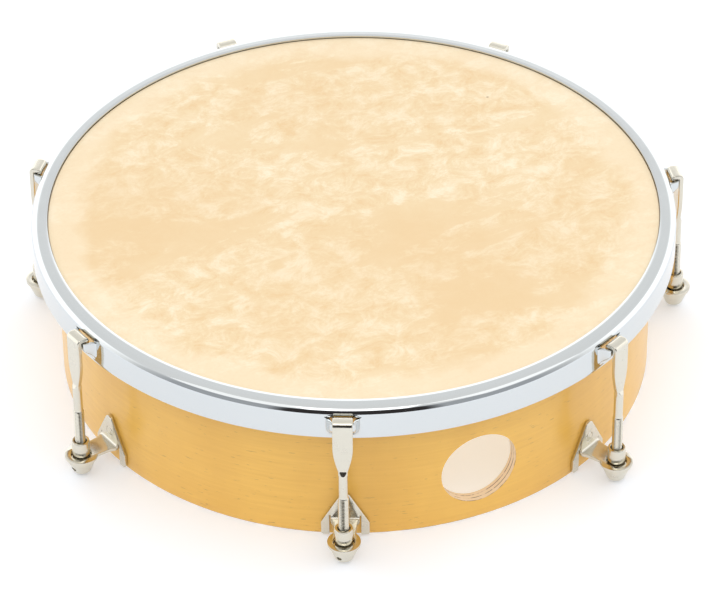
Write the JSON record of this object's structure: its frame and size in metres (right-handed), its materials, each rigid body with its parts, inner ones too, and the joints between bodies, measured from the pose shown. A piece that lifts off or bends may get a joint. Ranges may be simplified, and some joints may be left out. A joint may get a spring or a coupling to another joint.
{
  "type": "hand drum",
  "caption": "Round frame drum with a natural skin head, a bent wooden shell with a thumb hole, and a counterhoop drawn down by hooks and turning nuts.",
  "frame": {"origin": "centre of the playing face, on the skin's top", "axes": "+Z out of the playing face, along the drum's axis; the thumb hole faces -Y; +X to the right of it"},
  "size_m": [0.2928, 0.2871, 0.074],
  "materials": {
    "shell_wood": "clear satin varnish over pale bent ply",
    "drum_skin": "matt natural skin, mottled",
    "lapped_skin": "matt natural skin over a wooden hoop",
    "chrome": "polished chrome plate",
    "nickel": "nickel plate, slightly warm",
    "zinc": "bright zinc plate"
  },
  "bodies": {
    "drum": {"shell": "shell_wood", "skin": "drum_skin", "lug_bracket_1": "nickel", "lug_screw_1": "nickel", "lug_washer_1": "zinc", "lug_hex_nut_1": "zinc", "lug_bracket_2": "nickel", "lug_screw_2": "nickel", "lug_washer_2": "zinc", "lug_hex_nut_2": "zinc", "lug_bracket_3": "nickel", "lug_screw_3": "nickel", "lug_washer_3": "zinc", "lug_hex_nut_3": "zinc", "lug_bracket_4": "nickel", "lug_screw_4": "nickel", "lug_washer_4": "zinc", "lug_hex_nut_4": "zinc", "lug_bracket_5": "nickel", "lug_screw_5": "nickel", "lug_washer_5": "zinc", "lug_hex_nut_5": "zinc", "lug_bracket_6": "nickel", "lug_screw_6": "nickel", "lug_washer_6": "zinc", "lug_hex_nut_6": "zinc", "lug_bracket_7": "nickel", "lug_screw_7": "nickel", "lug_washer_7": "zinc", "lug_hex_nut_7": "zinc"},
    "hoop": {"counterhoop": "chrome", "flesh_hoop": "lapped_skin"},
    "nut_1": {"tension_nut_1": "nickel"},
    "hook_1": {"tension_hook_1": "nickel"},
    "nut_2": {"tension_nut_2": "nickel"},
    "hook_2": {"tension_hook_2": "nickel"},
    "nut_3": {"tension_nut_3": "nickel"},
    "hook_3": {"tension_hook_3": "nickel"},
    "nut_4": {"tension_nut_4": "nickel"},
    "hook_4": {"tension_hook_4": "nickel"},
    "nut_5": {"tension_nut_5": "nickel"},
    "hook_5": {"tension_hook_5": "nickel"},
    "nut_6": {"tension_nut_6": "nickel"},
    "hook_6": {"tension_hook_6": "nickel"},
    "nut_7": {"tension_nut_7": "nickel"},
    "hook_7": {"tension_hook_7": "nickel"}
  },
  "joints": [
    {"name": "hoop_travel", "type": "slide", "parent": "drum", "child": "hoop", "axis": [0, 0, -1], "range_m": [0, 0.0015], "stiffness_N_per_m": 8000, "springref_m": -0.001},
    {"name": "nut_turn_1", "type": "hinge", "parent": "drum", "child": "nut_1", "pos_m": [0.06207, -0.12888, -0.0646], "axis": [0, 0, -1], "range_deg": [0, 6120]},
    {"name": "hook_rise_1", "type": "slide", "parent": "hoop", "child": "hook_1", "axis": [0, 0, 1], "range_m": [0, 0.01275]},
    {"name": "nut_turn_2", "type": "hinge", "parent": "drum", "child": "nut_2", "pos_m": [0.13946, -0.03183, -0.0646], "axis": [0, 0, -1], "range_deg": [0, 6120]},
    {"name": "hook_rise_2", "type": "slide", "parent": "hoop", "child": "hook_2", "axis": [0, 0, 1], "range_m": [0, 0.01275]},
    {"name": "nut_turn_3", "type": "hinge", "parent": "drum", "child": "nut_3", "pos_m": [0.11184, 0.08919, -0.0646], "axis": [0, 0, -1], "range_deg": [0, 6120]},
    {"name": "hook_rise_3", "type": "slide", "parent": "hoop", "child": "hook_3", "axis": [0, 0, 1], "range_m": [0, 0.01275]},
    {"name": "nut_turn_4", "type": "hinge", "parent": "drum", "child": "nut_4", "pos_m": [0, 0.14305, -0.0646], "axis": [0, 0, -1], "range_deg": [0, 6120]},
    {"name": "hook_rise_4", "type": "slide", "parent": "hoop", "child": "hook_4", "axis": [0, 0, 1], "range_m": [0, 0.01275]},
    {"name": "nut_turn_5", "type": "hinge", "parent": "drum", "child": "nut_5", "pos_m": [-0.11184, 0.08919, -0.0646], "axis": [0, 0, -1], "range_deg": [0, 6120]},
    {"name": "hook_rise_5", "type": "slide", "parent": "hoop", "child": "hook_5", "axis": [0, 0, 1], "range_m": [0, 0.01275]},
    {"name": "nut_turn_6", "type": "hinge", "parent": "drum", "child": "nut_6", "pos_m": [-0.13946, -0.03183, -0.0646], "axis": [0, 0, -1], "range_deg": [0, 6120]},
    {"name": "hook_rise_6", "type": "slide", "parent": "hoop", "child": "hook_6", "axis": [0, 0, 1], "range_m": [0, 0.01275]},
    {"name": "nut_turn_7", "type": "hinge", "parent": "drum", "child": "nut_7", "pos_m": [-0.06207, -0.12888, -0.0646], "axis": [0, 0, -1], "range_deg": [0, 6120]},
    {"name": "hook_rise_7", "type": "slide", "parent": "hoop", "child": "hook_7", "axis": [0, 0, 1], "range_m": [0, 0.01275]}
  ],
  "couplings": [
    {"joint": "nut_turn_1", "follows": "hook_rise_1", "rad_per_m": 8377.6},
    {"joint": "nut_turn_2", "follows": "hook_rise_2", "rad_per_m": 8377.6},
    {"joint": "nut_turn_3", "follows": "hook_rise_3", "rad_per_m": 8377.6},
    {"joint": "nut_turn_4", "follows": "hook_rise_4", "rad_per_m": 8377.6},
    {"joint": "nut_turn_5", "follows": "hook_rise_5", "rad_per_m": 8377.6},
    {"joint": "nut_turn_6", "follows": "hook_rise_6", "rad_per_m": 8377.6},
    {"joint": "nut_turn_7", "follows": "hook_rise_7", "rad_per_m": 8377.6}
  ]
}
